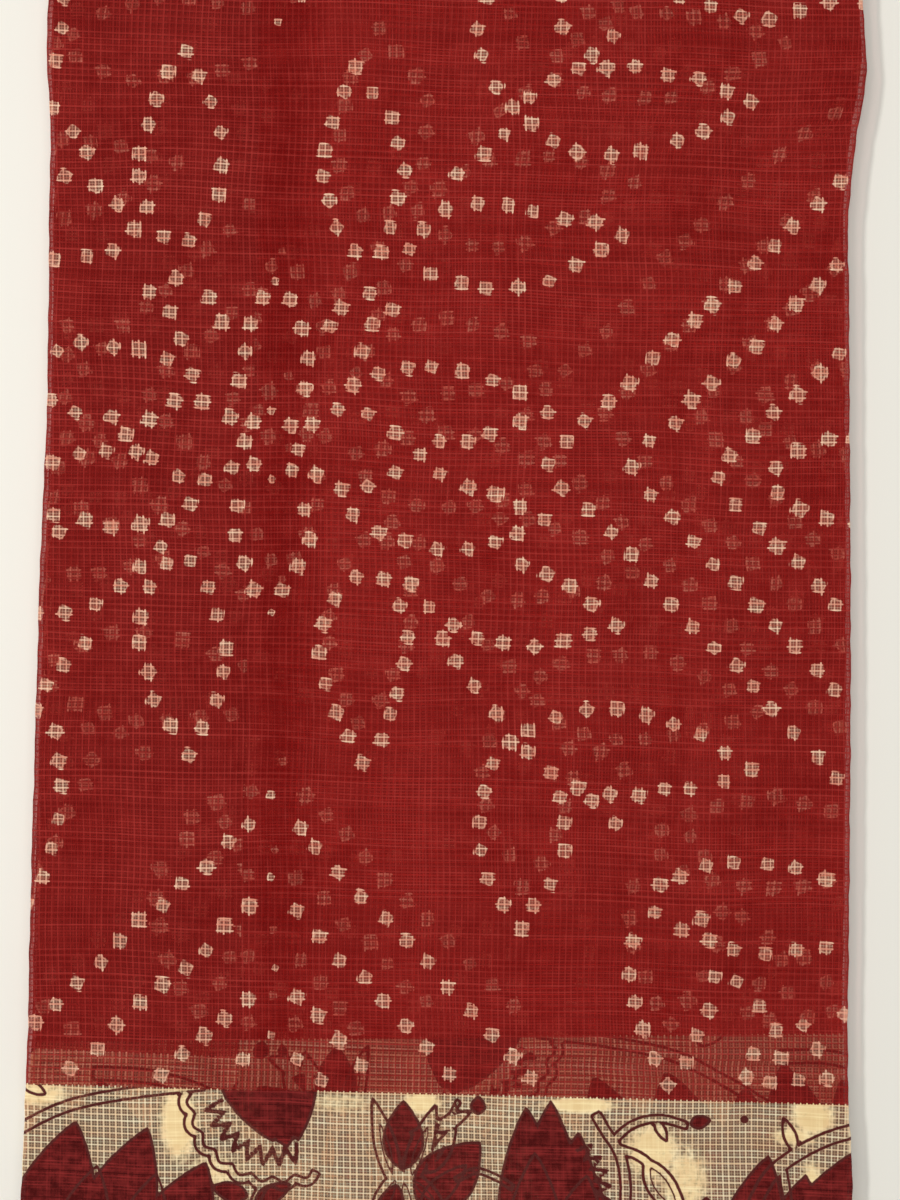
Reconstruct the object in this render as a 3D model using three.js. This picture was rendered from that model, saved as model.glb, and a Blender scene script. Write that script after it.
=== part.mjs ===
// A sari of thin, open-weave cotton, folded back and forth into a flat pile of twelve layers.
// Units are millimetres. +X runs across the folded pile, +Y along its creases, from one selvedge of
// the cloth to the other, and +Z is up. The pile lies flat on Z = 0.
// The sari is one piece of cloth, so it is one closed solid: a sheet with two skins, swept along the
// folded route of the cloth and laid out at a row of stations from the lower selvedge to the upper one.

import * as THREE from 'three';

const clothWidth = 1150; // selvedge to selvedge
const clothThickness = 1;
const layerGap = 0.5; // air between two layers
const layerCount = 12;
const arcSteps = 4; // flats in one turned crease
const endInset = 6; // how far the cut end under the pile stays inside its outline

const pitch = clothThickness + layerGap;
const turnRadius = pitch / 2; // of the middle of the cloth, round a crease
const creaseReach = turnRadius + clothThickness / 2;

// The outline of the pile, seen from above, at each station: height above the lower selvedge, and
// how far the creases reach to the left and to the right of the pile's middle line.
const outline = [
  { up: 0, left: 266, right: 258 },
  { up: 60, left: 264, right: 257.5 },
  { up: 115, left: 261.5, right: 255 },
  { up: 232, left: 258.5, right: 255.5 },
  { up: 358, left: 255, right: 256.5 },
  { up: 446, left: 252.5, right: 256.5 },
  { up: 522, left: 249, right: 256 },
  { up: 610, left: 247.5, right: 255.5 },
  { up: 673, left: 247, right: 255 },
  { up: 717, left: 246.5, right: 259.5 },
  { up: 761, left: 249, right: 266 },
  { up: 799, left: 247.5, right: 264 },
  { up: 900, left: 246, right: 261.5 },
  { up: 1020, left: 247, right: 259 },
  { up: 1150, left: 249.5, right: 260.5 },
];

// The creases, from the lowest to the highest, right and left in turn: how far each stops short of
// the outline, how much more at the upper selvedge than at the lower one, and how far the cloth has
// slipped towards the upper selvedge there.
const creases = [
  { inset: 3.5, slant: -1.5, slip: 2 },
  { inset: 4, slant: 2, slip: -2.5 },
  { inset: 2.5, slant: 1.5, slip: 3 },
  { inset: 3, slant: -2, slip: 0.5 },
  { inset: 4, slant: 1, slip: -3 },
  { inset: 2, slant: 1, slip: 1.5 },
  { inset: 1.5, slant: -1, slip: 4 },
  { inset: 3, slant: -1.5, slip: -1 },
  { inset: 2.5, slant: 2, slip: -3.5 },
  { inset: 1.5, slant: 0.5, slip: 2.5 },
  { inset: 0, slant: 0, slip: -7 },
  { inset: 0, slant: 0, slip: 7 },
];
const firstSlip = -1.5; // at the cut end under the pile
const lastSlip = 5; // at the cut end that is tucked under the top layer

// Where each layer is bent a little between its creases, as shares of the pile's width from the
// left. The top end of the cloth is tucked under by tuckShare, and the top layer comes down to the
// layers below between the second and the third of these places.
const places = [0.13, 0.27, 0.33, 0.46, 0.6, 0.74, 0.88];
const tuckShare = 0.258;
const tuckedPlaces = 1;
const raisedPlaces = 2;

// Soft swells and hollows of the pile: place, radius, and the change of height as a share.
const swells = [
  { x: -150, up: 240, radius: 170, rise: 0.07 },
  { x: 120, up: 420, radius: 190, rise: -0.06 },
  { x: -60, up: 640, radius: 160, rise: 0.05 },
  { x: 190, up: 760, radius: 150, rise: 0.08 },
  { x: -180, up: 900, radius: 180, rise: -0.05 },
  { x: 60, up: 1040, radius: 170, rise: 0.05 },
];

function heightFactor(x, up) {
  let factor = 1;
  for (const swell of swells) {
    const away = Math.hypot(x - swell.x, up - swell.up) / swell.radius;
    factor += swell.rise * Math.exp(-away * away);
  }
  return factor;
}

// The edge that crease number k makes at a station: x of its outermost point.
function creaseEdge(station, k) {
  const { inset, slant } = creases[k];
  const short = inset + (slant * station.up) / clothWidth;
  const goesRight = k % 2 === 0;
  return goesRight ? station.right - short : short - station.left;
}

function levelHeight(level) {
  return clothThickness / 2 + level * pitch;
}

// One turned crease at side +1 (right) or -1 (left), turning up (+1) or down (-1) round its centre.
// A point of the route holds the middle of the cloth, the direction to its first skin, and its slip.
function addTurn(route, edge, side, turn, centreHeight, slip) {
  const centre = edge - side * creaseReach;
  for (let step = 0; step <= arcSteps; step += 1) {
    const angle = turn * Math.PI * (step / arcSteps - 0.5);
    const outX = side * Math.cos(angle);
    const outZ = Math.sin(angle);
    const toSkin = -side * turn;
    route.push({
      x: centre + outX * turnRadius,
      z: centreHeight + outZ * turnRadius,
      skinX: outX * toSkin,
      skinZ: outZ * toSkin,
      slip,
    });
  }
}

// The bends between two creases of one layer, in the direction in which the cloth runs there.
function addLayer(route, station, layer, slipFrom, slipTo) {
  const runsRight = layer % 2 === 0;
  const width = station.left + station.right;
  const isTop = layer === layerCount - 1;
  const shares = places.map((share, index) => ({ share, raised: isTop && index < raisedPlaces }));
  if (!runsRight) {
    shares.reverse();
  }
  for (const { share, raised } of shares) {
    const along = runsRight ? share : 1 - share;
    route.push({
      x: share * width - station.left,
      z: levelHeight(raised ? layer + 1 : layer),
      skinX: 0,
      skinZ: runsRight ? 1 : -1,
      slip: slipFrom + (slipTo - slipFrom) * along,
    });
  }
}

function addEnd(route, x, level, slip) {
  route.push({ x, z: levelHeight(level), skinX: 0, skinZ: 1, slip });
}

// The whole folded route of the cloth at one station, from the cut end under the pile to the cut
// end that is tucked under the top layer.
function foldedRoute(station) {
  const route = [];
  const top = layerCount - 1;
  addEnd(route, endInset - station.left, 0, firstSlip);
  for (let layer = 0; layer < layerCount; layer += 1) {
    const slipFrom = layer === 0 ? firstSlip : creases[layer - 1].slip;
    const slipTo = creases[layer].slip;
    addLayer(route, station, layer, slipFrom, slipTo);
    const side = layer % 2 === 0 ? 1 : -1;
    const turn = layer === top ? -1 : 1;
    addTurn(route, creaseEdge(station, layer), side, turn, levelHeight(layer + 0.5), slipTo);
  }
  const width = station.left + station.right;
  for (const share of [...places.slice(0, tuckedPlaces), tuckShare]) {
    const slip = creases[top].slip + (lastSlip - creases[top].slip) * (share / tuckShare);
    addEnd(route, share * width - station.left, top, slip);
  }
  return route;
}

// A closed solid from the two skins of the cloth, its two selvedges and its two cut ends.
function sheetGeometry() {
  const routes = outline.map((station) => foldedRoute(station));
  const stationCount = outline.length;
  const pointCount = routes[0].length;
  const half = clothThickness / 2;
  const positions = [];
  for (const skin of [1, -1]) {
    for (let s = 0; s < stationCount; s += 1) {
      for (const point of routes[s]) {
        const x = point.x + skin * half * point.skinX;
        const up = outline[s].up + point.slip;
        const z = (point.z + skin * half * point.skinZ) * heightFactor(x, up);
        positions.push(x, up - clothWidth / 2, z);
      }
    }
  }
  const first = (s, p) => s * pointCount + p;
  const second = (s, p) => stationCount * pointCount + s * pointCount + p;
  const triangles = [];
  const quad = (a, b, c, d) => triangles.push(a, b, c, a, c, d);
  for (let s = 0; s + 1 < stationCount; s += 1) {
    for (let p = 0; p + 1 < pointCount; p += 1) {
      quad(first(s, p), first(s, p + 1), first(s + 1, p + 1), first(s + 1, p));
      quad(second(s, p), second(s + 1, p), second(s + 1, p + 1), second(s, p + 1));
    }
  }
  const lastStation = stationCount - 1;
  for (let p = 0; p + 1 < pointCount; p += 1) {
    quad(first(0, p), second(0, p), second(0, p + 1), first(0, p + 1));
    quad(first(lastStation, p), first(lastStation, p + 1), second(lastStation, p + 1), second(lastStation, p));
  }
  const lastPoint = pointCount - 1;
  for (let s = 0; s + 1 < stationCount; s += 1) {
    quad(first(s, 0), first(s + 1, 0), second(s + 1, 0), second(s, 0));
    quad(first(s, lastPoint), second(s, lastPoint), second(s + 1, lastPoint), first(s + 1, lastPoint));
  }
  const geometry = new THREE.BufferGeometry();
  geometry.setAttribute('position', new THREE.Float32BufferAttribute(positions, 3));
  geometry.setIndex(triangles);
  return geometry;
}

// Moves the pile so that the middle of its base is the origin.
function centred(geometry) {
  geometry.computeBoundingBox();
  const { min, max } = geometry.boundingBox;
  geometry.translate(-(min.x + max.x) / 2, -(min.y + max.y) / 2, -min.z);
  geometry.computeVertexNormals();
  return geometry;
}

const printedCotton = new THREE.MeshStandardMaterial({
  name: 'printed_cotton',
  color: 0x9a1f26,
  roughness: 0.85,
  metalness: 0,
});

const sari = new THREE.Mesh(centred(sheetGeometry()), printedCotton);
sari.name = 'folded_sari';

const model = new THREE.Group();
model.add(sari);

export default model;
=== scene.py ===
"""A sari of kota doria, a sheer cotton woven in small checks, folded back and forth into a flat pile.

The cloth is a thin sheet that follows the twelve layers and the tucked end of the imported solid. Every
point of it knows its place on the flat cloth: s, along the length, and up, from the lower selvedge.
The weave is worked out from those two in the material, and the print, rows of dots and a lotus
border, from shapes that are laid out on the flat cloth here. Lengths are in metres.
"""

import math
from collections import namedtuple

import bpy
import numpy as np
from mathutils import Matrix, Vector
from mathutils.kdtree import KDTree


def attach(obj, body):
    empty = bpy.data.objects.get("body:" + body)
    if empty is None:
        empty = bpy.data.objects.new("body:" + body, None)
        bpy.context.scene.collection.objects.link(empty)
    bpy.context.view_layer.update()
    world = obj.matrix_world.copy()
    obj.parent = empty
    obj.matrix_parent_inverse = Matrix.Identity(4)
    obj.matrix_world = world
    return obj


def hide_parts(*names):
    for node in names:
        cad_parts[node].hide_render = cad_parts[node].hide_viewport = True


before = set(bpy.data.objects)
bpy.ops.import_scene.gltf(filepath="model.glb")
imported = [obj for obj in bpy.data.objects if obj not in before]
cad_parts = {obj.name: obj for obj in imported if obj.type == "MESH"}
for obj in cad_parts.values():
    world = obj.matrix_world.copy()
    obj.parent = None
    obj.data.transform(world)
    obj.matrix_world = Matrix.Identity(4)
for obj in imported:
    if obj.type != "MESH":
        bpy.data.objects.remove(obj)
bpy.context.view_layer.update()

NODE = "folded_sari"
BODY = "root"

# ---------- the folded pile, as in the solid

CLOTH_WIDTH = 1.150  # selvedge to selvedge
THICKNESS = 0.001
PITCH = 0.0015  # from one layer to the next
LAYERS = 12
TOP = LAYERS - 1
TURN_RADIUS = PITCH / 2
CREASE_REACH = TURN_RADIUS + THICKNESS / 2
TURN_ARC = math.pi * TURN_RADIUS
END_INSET = 0.006
TUCK_SHARE = 0.258  # how far the tucked end reaches, as a share of the pile's width
STEP_SHARES = (0.27, 0.33)  # where the top layer comes down past the tucked end
TUCK_LENGTH = 0.135  # about how much cloth the tucked end takes
TUCK_END_S = -0.3775 - TURN_ARC  # s at its cut end
SOFT_EDGE = 0.0012  # the soft folds bulge this much past the solid's

Station = namedtuple("Station", "up left right")
OUTLINE = [
    Station(0.000, 0.2660, 0.2580),
    Station(0.060, 0.2640, 0.2575),
    Station(0.115, 0.2615, 0.2550),
    Station(0.232, 0.2585, 0.2555),
    Station(0.358, 0.2550, 0.2565),
    Station(0.446, 0.2525, 0.2565),
    Station(0.522, 0.2490, 0.2560),
    Station(0.610, 0.2475, 0.2555),
    Station(0.673, 0.2470, 0.2550),
    Station(0.717, 0.2465, 0.2595),
    Station(0.761, 0.2490, 0.2660),
    Station(0.799, 0.2475, 0.2640),
    Station(0.900, 0.2460, 0.2615),
    Station(1.020, 0.2470, 0.2590),
    Station(1.150, 0.2495, 0.2605),
]

Crease = namedtuple("Crease", "inset slant slip")
CREASES = [
    Crease(0.0035, -0.0015, 0.0020),
    Crease(0.0040, 0.0020, -0.0025),
    Crease(0.0025, 0.0015, 0.0030),
    Crease(0.0030, -0.0020, 0.0005),
    Crease(0.0040, 0.0010, -0.0030),
    Crease(0.0020, 0.0010, 0.0015),
    Crease(0.0015, -0.0010, 0.0040),
    Crease(0.0030, -0.0015, -0.0010),
    Crease(0.0025, 0.0020, -0.0035),
    Crease(0.0015, 0.0005, 0.0025),
    Crease(0.0000, 0.0000, -0.0070),
    Crease(0.0000, 0.0000, 0.0070),
]
FIRST_SLIP = -0.0015
LAST_SLIP = 0.0050

# The fine unevenness of the creases: a sum of waves of these lengths.
Waver = namedtuple("Waver", "seed lengths size")
LEFT_WAVER = Waver(3, (0.031, 0.077, 0.019), 0.0006)
RIGHT_WAVER = Waver(4, (0.027, 0.061, 0.016), 0.0007)

Swell = namedtuple("Swell", "x up radius rise")
SWELLS = [
    Swell(-0.150, 0.240, 0.170, 0.07),
    Swell(0.120, 0.420, 0.190, -0.06),
    Swell(-0.060, 0.640, 0.160, 0.05),
    Swell(0.190, 0.760, 0.150, 0.08),
    Swell(-0.180, 0.900, 0.180, -0.05),
    Swell(0.060, 1.040, 0.170, 0.05),
]

RIPPLE = 0.00012  # height of the small unevenness of the layers, waves of 0.2 to 0.5 m

# Soft lines that an earlier folding left in the top layer: place, lean, width and depth.
OldFold = namedtuple("OldFold", "x lean width depth")
OLD_FOLDS = [
    OldFold(0.066, 0.006, 0.0060, 0.00045),
    OldFold(0.093, -0.004, 0.0050, 0.00030),
    OldFold(-0.205, 0.004, 0.0080, 0.00035),
    OldFold(0.198, 0.005, 0.0090, 0.00040),
]

# ---------- the flat cloth and its print

CHECK = 0.0039  # one check of the weave
YARN_STRAY = (0.0011, 0.12)  # how far the yarns stray from straight, and over what length
BORDER = 0.110  # height of the printed border
AXIS = -0.107  # s of a middle line of the print's repeat
NODE_UP = 0.515  # up of the middle of a bouquet
REPEAT = (0.723, 0.878)  # the body print's repeat, along s and up
WANDER = (0.013, 2.0)  # how far the rows of the print stray from straight, and over what length
DOT_SPACING = 0.0186
DOT_SIZE = 0.0083
DOT_SIZE_SPREAD = 0.06  # as a share
DOT_TURN = (-20, 9)  # degrees, and their spread
DOT_SWAY = (0.0016, 0.11)  # how far neighbouring dots stray together, and over what length
DOT_JITTER = 0.0010  # how far each strays on its own
DOT_MARGIN = 0.006  # from the border to the middle of the nearest dot
LAYER_RUN = 0.5085  # cloth between two creases, with its share of the turns
FIRST_S = 0.2560  # s at the right crease of the top layer
DOTS_FROM = -0.450  # s where the rows of dots begin, past the tucked end
DOTS_TO = FIRST_S + LAYERS * LAYER_RUN

# How far the print lies towards the lower selvedge on each layer, at its left and right crease.
Drift = namedtuple("Drift", "left right")
DRIFTS = {
    TOP + 1: Drift(-0.022, -0.018),
    TOP: Drift(0.0, 0.0),
    TOP - 1: Drift(-0.030, -0.044),
    TOP - 2: Drift(0.012, 0.004),
    TOP - 3: Drift(-0.008, -0.016),
}
DEEP_DRIFT = Drift(0.006, -0.006)


def smooth_curve(xs, ys, at):
    """A smooth curve through a short table, with the slopes of its neighbours at each place."""
    xs, ys = np.asarray(xs, float), np.asarray(ys, float)
    slopes = np.gradient(ys, xs)
    k = np.clip(np.searchsorted(xs, at, side="right") - 1, 0, len(xs) - 2)
    step = xs[k + 1] - xs[k]
    u = (at - xs[k]) / step
    return (
        ys[k] * (1 + 2 * u) * (1 - u) ** 2
        + ys[k + 1] * u * u * (3 - 2 * u)
        + slopes[k] * step * u * (1 - u) ** 2
        + slopes[k + 1] * step * u * u * (u - 1)
    )


def uneven_line(at, waver):
    """A gentle unevenness along a line, the same each time."""
    rng = np.random.default_rng(waver.seed)
    total = np.zeros_like(at, dtype=float)
    for length in waver.lengths:
        total += np.sin(2 * math.pi * (at / length + rng.random())) * rng.uniform(0.5, 1.0)
    return total * waver.size / len(waver.lengths)


class Pile:
    """Where each point of the cloth lies, worked out for a column of points along up."""

    def __init__(self, up):
        self.up = up
        ups, lefts, rights = zip(*OUTLINE)
        self.left = smooth_curve(ups, lefts, up) + uneven_line(up, LEFT_WAVER) + SOFT_EDGE
        self.right = smooth_curve(ups, rights, up) + uneven_line(up, RIGHT_WAVER) + SOFT_EDGE
        self.width = self.left + self.right

    def crease_centre(self, k):
        crease = CREASES[k]
        short = crease.inset + crease.slant * self.up / CLOTH_WIDTH
        if k % 2 == 0:
            return self.right - short - CREASE_REACH
        return short - self.left + CREASE_REACH

    def s_after(self, k):
        """s where the turned crease k ends. The top layer lies square, so its s is its x."""
        if k == TOP:
            return self.crease_centre(TOP) - TURN_ARC
        if k == TOP - 1:
            return self.crease_centre(k)
        return np.full_like(self.up, FIRST_S + (TOP - 1 - k) * LAYER_RUN)

    def layer_point(self, layer, along):
        """x, height, slip and s of the layer's points at a share of its run."""
        if layer > TOP:
            start, s_start, slip_start = self.crease_centre(TOP), self.s_after(TOP), CREASES[TOP].slip
            end = TUCK_SHARE * self.width - self.left
            s_end = np.full_like(self.up, TUCK_END_S)
            slip_end = LAST_SLIP
        else:
            end, slip_end = self.crease_centre(layer), CREASES[layer].slip
            s_end = self.s_after(layer) + TURN_ARC
            if layer == 0:
                start, slip_start = END_INSET - self.left, FIRST_SLIP
                s_start = s_end + LAYER_RUN
            else:
                start, slip_start = self.crease_centre(layer - 1), CREASES[layer - 1].slip
                s_start = self.s_after(layer - 1)
        x = start + (end - start) * along
        level = np.full_like(self.up, min(layer, TOP))
        if layer == TOP:
            low, high = STEP_SHARES
            share = np.clip(((x + self.left) / self.width - low) / (high - low), 0, 1)
            level += 1 - share * share * (3 - 2 * share)
        height = THICKNESS / 2 + level * PITCH
        slip = slip_start + (slip_end - slip_start) * along
        return x, height, slip, s_start + (s_end - s_start) * along

    def turn_point(self, k, along):
        """The same for the turned crease k. The last one turns down, because the end is tucked under."""
        side, turn = (1 if k % 2 == 0 else -1), (-1 if k == TOP else 1)
        angle = turn * math.pi * (along - 0.5)
        x = self.crease_centre(k) + side * math.cos(angle) * TURN_RADIUS
        height = np.full_like(self.up, THICKNESS / 2 + (k + 0.5 + 0.5 * math.sin(angle)) * PITCH)
        slip = np.full_like(self.up, CREASES[k].slip)
        return x, height, slip, self.s_after(k) + TURN_ARC * (1 - along)


def soft_noise(a, b, size, seed, waves=9):
    """Smooth unevenness over a plane, about -1 to 1, with features of about a size."""
    rng = np.random.default_rng(seed)
    total = np.zeros_like(a, dtype=float)
    for heading in rng.uniform(0, math.pi, waves):
        pace = 2 * math.pi / (size * rng.uniform(0.7, 1.6))
        phase = rng.uniform(0, 2 * math.pi)
        total += np.sin((a * math.cos(heading) + b * math.sin(heading)) * pace + phase)
    return total / math.sqrt(waves)


def height_factor(x, up):
    """The factor by which the swells raise or lower the pile."""
    factor = np.ones_like(x)
    for swell in SWELLS:
        away = np.hypot(x - swell.x, up - swell.up) / swell.radius
        factor += swell.rise * np.exp(-away * away)
    return factor


def ripple(x, up, level):
    """Small unevenness of the layers, none of it at the base, and the old folds near the top."""
    share = np.clip(level / TOP, 0, 1)
    soft = (
        np.sin(x / 0.031 + 2.1 * np.sin(up / 0.083))
        + np.sin(up / 0.047 + 1.7 * np.sin(x / 0.061) + 1.0)
        + np.sin((x + up) / 0.072)
    )
    total = RIPPLE * soft * share
    for fold in OLD_FOLDS:
        away = (x - fold.x - fold.lean * (up / CLOTH_WIDTH - 0.5)) / fold.width
        total -= fold.depth * np.exp(-away * away) * share**4
    return total


# ---------- rows of dots on the body

# A bouquet of leaves and stems, from its middle. Its right half; the left is its mirror image.
Leaf = namedtuple("Leaf", "base_s base_up tip_s tip_up half_width")
INNER_LEAVES = [  # the same above and below
    Leaf(0.018, 0.000, 0.091, 0.000, 0.0255),
    Leaf(0.046, 0.033, 0.171, 0.036, 0.0235),
]
OUTER_LEAVES = [
    Leaf(0.085, 0.1275, 0.220, 0.1465, 0.0265),
    Leaf(0.155, 0.220, 0.301, 0.233, 0.0270),
    Leaf(0.236, 0.317, 0.400, 0.323, 0.0285),
    Leaf(0.060, 0.120, 0.053, 0.245, 0.0265),
    Leaf(0.158, 0.216, 0.155, 0.343, 0.0265),
    Leaf(0.252, 0.308, 0.250, 0.433, 0.0265),
    Leaf(0.325, 0.388, 0.322, 0.513, 0.0275),
]
MIDDLE = [(0.0, 0.0216), (0.0124, 0.0146), (0.0214, 0.0), (0.0, 0.104)]  # single dots
INNER_STEMS = [[(0.022, 0.040), (0.0225, 0.057), (0.017, 0.0745), (0.008, 0.092)]]
OUTER_STEMS = [
    [(0.060, 0.100), (0.079, 0.132), (0.106, 0.160), (0.130, 0.193), (0.142, 0.205)],
    [(0.186, 0.244), (0.215, 0.2715)],
    [(0.263, 0.341), (0.362, 0.431)],
    [(0.320, 0.392), (0.338, 0.3865), (0.357, 0.382)],
]
LINKS = [  # between the two, where the upper half is longer
    [(0.052, 0.045), (0.063, 0.080), (0.076, 0.092)],
    [(0.0335, 0.077), (0.042, 0.090)],
]
LOWER_DRAWN_IN = 0.047  # the outer leaves of the lower half lie this much nearer the middle

# Lozenges one inside the other: how far out their sides cross, and how far out their corner dots lie.
Lozenge = namedtuple("Lozenge", "size corner")
BESIDE = (0.372, 0.000)  # middle of the lozenges beside a bouquet
BESIDE_LOZENGES = [Lozenge(0.203, 0.198), Lozenge(0.150, 0.146), Lozenge(0.0955, 0.0895)]
BESIDE_EYE = Leaf(-0.059, 0.0, 0.059, 0.0, 0.028)
BELOW = (0.000, -0.416)
BELOW_LOZENGES = [
    Lozenge(0.193, 0.196),
    Lozenge(0.141, 0.144),
    Lozenge(0.086, 0.0895),
    Lozenge(0.045, 0.047),
]
CLEAR = 0.0105  # two dots are never nearer than this
SMALL_SHARE = 0.55  # size of the dots on the middle line, where the cloth was folded to be tied
NEAR_LINE = 0.002  # dots this near the line are on it
SIDE_START = 1.2 * DOT_SPACING  # from where a lozenge's sides cross to the nearest dot of a side


def spaced(points, gap, closed=False, first=0.0):
    """Points at an even gap along a line of points."""
    line = np.asarray(points, float)
    if closed:
        line = np.vstack([line, line[:1]])
    steps = np.hypot(*np.diff(line, axis=0).T)
    reach = np.concatenate([[0], np.cumsum(steps)])
    count = max(1, round((reach[-1] - first) / gap))
    even = first + (reach[-1] - first) * np.arange(count + (0 if closed else 1)) / count
    return np.column_stack([np.interp(even, reach, line[:, 0]), np.interp(even, reach, line[:, 1])])


def pointed_width(reach):
    """How wide a leaf or petal is at a share of its length, widest a little before the middle."""
    return np.sin(math.pi * reach**0.80) ** 0.85


def leaf_loop(leaf, count=30):
    """A pointed loop: its tip first, out along one side and back along the other."""
    base, tip = np.array([leaf.base_s, leaf.base_up]), np.array([leaf.tip_s, leaf.tip_up])
    along = tip - base
    across = np.array([-along[1], along[0]]) / np.hypot(*along)
    back = np.linspace(1, 0, count, endpoint=False)
    out = np.linspace(0, 1, count, endpoint=False)
    reach = np.concatenate([back, out])
    width = np.repeat([1, -1], count) * pointed_width(reach)
    return base + np.outer(reach, along) + np.outer(width * leaf.half_width, across)


def laid_out(leaves, stems):
    """The dots of some leaves and stems."""
    loops = [spaced(leaf_loop(leaf), DOT_SPACING, closed=True) for leaf in leaves]
    return np.vstack(loops + [spaced(stem, DOT_SPACING) for stem in stems])


def bouquet_dots():
    """The dots of a bouquet: its right half, upper and lower, and the mirror image of both."""
    inner = np.vstack([laid_out(INNER_LEAVES, INNER_STEMS), MIDDLE])
    outer = laid_out(OUTER_LEAVES, OUTER_STEMS)
    upper = np.vstack([inner, outer, laid_out([], LINKS)])
    lower = np.vstack([inner, outer - (0, LOWER_DRAWN_IN)]) * (1, -1)
    right = np.vstack([upper, lower])
    right = right[right[:, 0] < REPEAT[0] / 2]  # the next bouquet begins there
    return np.vstack([right, right * (-1, 1)])


def lozenge_dots(lozenges):
    """The dots of lozenges round one middle: their sides and their corner dots."""
    corners = np.array([(1, 0), (0, 1), (-1, 0), (0, -1)])
    dots = []
    for lozenge in lozenges:
        side = lozenge.size * math.sqrt(2)
        count = round((side - 2 * SIDE_START) / DOT_SPACING) + 1
        share = np.linspace(SIDE_START, side - SIDE_START, count)[:, None] / side
        for corner, following in zip(corners, np.roll(corners, -1, axis=0)):
            dots.append(lozenge.size * (corner + share * (following - corner)))
            dots.append([lozenge.corner * corner])
    return np.vstack(dots)


def repeat_dots():
    """The dots of one repeat, from the middle of its bouquet."""
    return np.vstack([
        bouquet_dots(),
        lozenge_dots(BESIDE_LOZENGES) + BESIDE,
        laid_out([BESIDE_EYE], []) + BESIDE,
        lozenge_dots(BELOW_LOZENGES) + BELOW,
    ])


def tree_of(places):
    tree = KDTree(len(places))
    for number, (s, up) in enumerate(places):
        tree.insert((s, up, 0), number)
    tree.balance()
    return tree


def uncrowded(places):
    """Numbers of the places that stay when each one too near an earlier one is left out."""
    tree = tree_of(places)
    dropped = set()
    for number, (s, up) in enumerate(places):
        if number not in dropped:
            dropped.update(other for _, other, _ in tree.find_range((s, up, 0), CLEAR) if other > number)
    return [number for number in range(len(places)) if number not in dropped]


Dots = namedtuple("Dots", "centres turns halves tree")


def body_dots():
    """Every dot on the body of the cloth: its middle, its turn and half its size."""
    repeat = repeat_dots()
    first = math.floor((DOTS_FROM - AXIS) / REPEAT[0]) - 1
    last = math.ceil((DOTS_TO - AXIS) / REPEAT[0]) + 1
    columns = [AXIS + REPEAT[0] * i for i in range(first, last)]
    rows = [NODE_UP + REPEAT[1] * j for j in range(-1, 3)]
    places = [(s, up) for s in columns for up in rows]
    found = np.vstack([repeat + place for place in places])
    on_line = np.tile(np.abs(repeat[:, 0]) < NEAR_LINE, len(places))
    rng = np.random.default_rng(11)
    stray, length = DOT_SWAY
    sway = np.column_stack([soft_noise(*found.T, length, seed) for seed in (41, 42)])
    found = found + stray * sway + rng.normal(0, DOT_JITTER, found.shape)
    stray, length = WANDER
    found[:, 1] -= stray * np.sin(2 * math.pi * (found[:, 0] - AXIS) / length)
    from_selvedge = np.minimum(found[:, 1], CLOTH_WIDTH - found[:, 1])
    inside = (found[:, 0] > DOTS_FROM) & (found[:, 0] < DOTS_TO)
    inside &= from_selvedge > BORDER + DOT_MARGIN
    found, on_line = found[inside], on_line[inside]
    kept = uncrowded(found)
    centres = found[kept]
    turns = np.radians(rng.normal(*DOT_TURN, len(kept)))
    sizes = rng.normal(1, DOT_SIZE_SPREAD, len(kept)) * np.where(on_line[kept], SMALL_SHARE, 1.0)
    return Dots(centres, turns, DOT_SIZE / 2 * sizes, tree_of(centres))


# ---------- the lotus border

BORDER_REPEAT = 0.600
BORDER_START = -0.270  # s where one repeat of the border begins
UPPER_SHIFT = 0.21  # how much earlier it begins on the upper border
FAR = 0.006  # shapes further off than this don't count

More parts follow.
